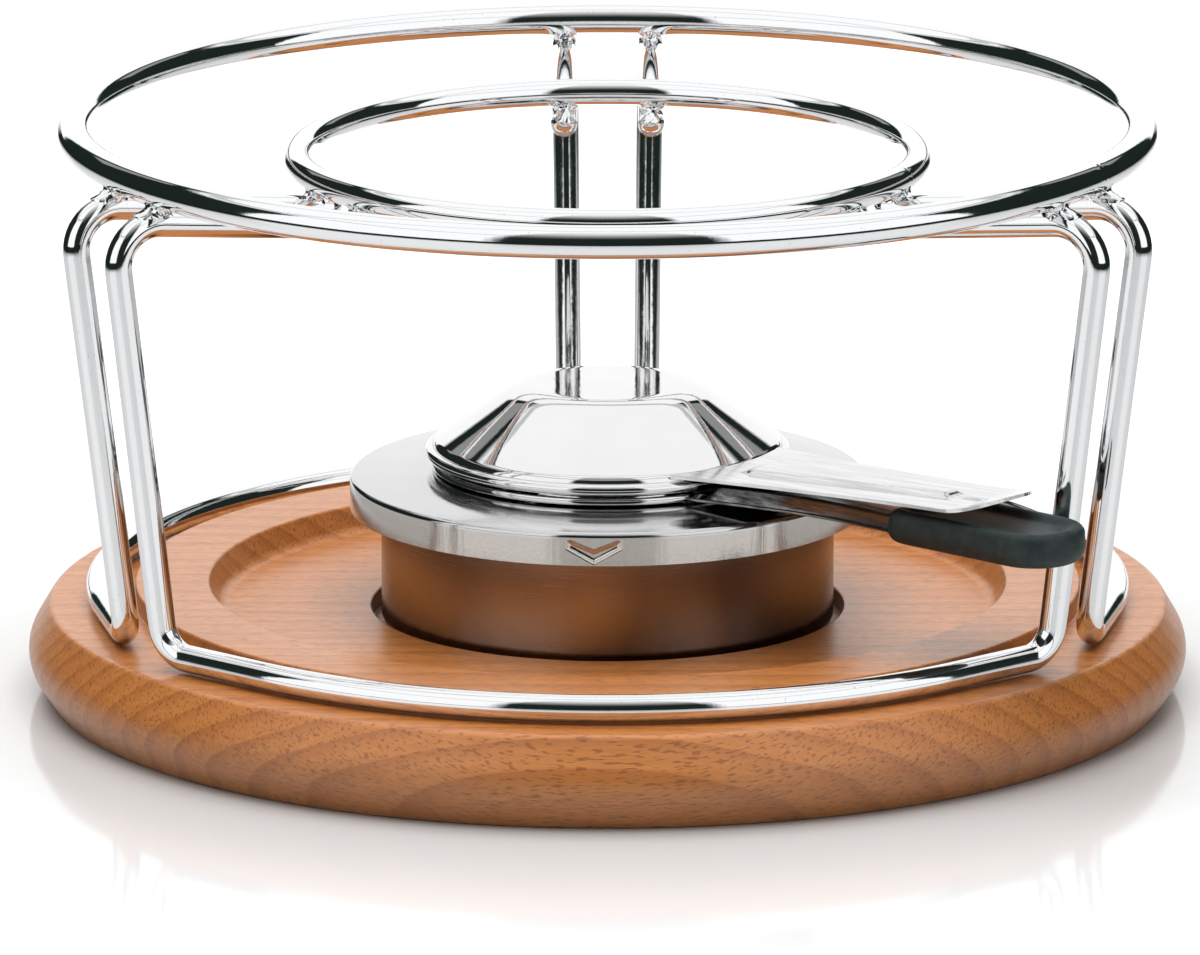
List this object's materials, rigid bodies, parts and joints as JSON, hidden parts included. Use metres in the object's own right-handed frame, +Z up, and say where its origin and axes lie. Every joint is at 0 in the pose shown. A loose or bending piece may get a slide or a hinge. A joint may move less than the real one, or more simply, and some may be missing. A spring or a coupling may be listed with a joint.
{
  "type": "table rechaud",
  "caption": "Fondue rechaud: round wooden base, chromed wire stand with two pot rings, and a paste burner with a turning air regulator and a lift-off snuffer.",
  "frame": {"origin": "centre of the flat underside of the wooden base", "axes": "+Z up, -Y towards the front, +X to the right; the burner's handles point to the front right"},
  "size_m": [0.2306, 0.232, 0.1169],
  "materials": {
    "beech": "oiled, satin",
    "chrome_wire": "bright polished",
    "brushed_steel": "fine circumferential brushing",
    "polished_steel": "bright polished",
    "tin": "plain drawn sheet",
    "silicone": "matte"
  },
  "bodies": {
    "base": {"wood_base": "beech"},
    "stand": {"front_loop": "chrome_wire", "back_right_loop": "chrome_wire", "back_left_loop": "chrome_wire", "outer_ring": "chrome_wire", "inner_ring": "chrome_wire"},
    "burner": {"burner_cup": "brushed_steel", "fuel_tin": "tin"},
    "cover": {"burner_cover": "polished_steel", "cover_collar": "polished_steel"},
    "regulator": {"regulator_ring": "polished_steel", "regulator_handle": "polished_steel", "silicone_grip": "silicone"},
    "snuffer": {"snuffer_dome": "polished_steel", "snuffer_handle": "polished_steel"}
  },
  "joints": [
    {"name": "stand_lift", "type": "slide", "parent": "base", "child": "stand", "axis": [0, 0, 1], "range_m": [0, 0.018]},
    {"name": "burner_lift", "type": "slide", "parent": "base", "child": "burner", "axis": [0, 0, 1], "range_m": [0, 0.014]},
    {"name": "cover_lift", "type": "slide", "parent": "burner", "child": "cover", "axis": [0, 0, 1], "range_m": [0, 0.01]},
    {"name": "regulator_turn", "type": "hinge", "parent": "cover", "child": "regulator", "pos_m": [0, 0, 0.0454], "axis": [0, 0, 1], "range_deg": [-60, 0]},
    {"name": "snuffer_lift", "type": "slide", "parent": "cover", "child": "snuffer", "axis": [0, 0, 1], "range_m": [0, 0.016]}
  ]
}
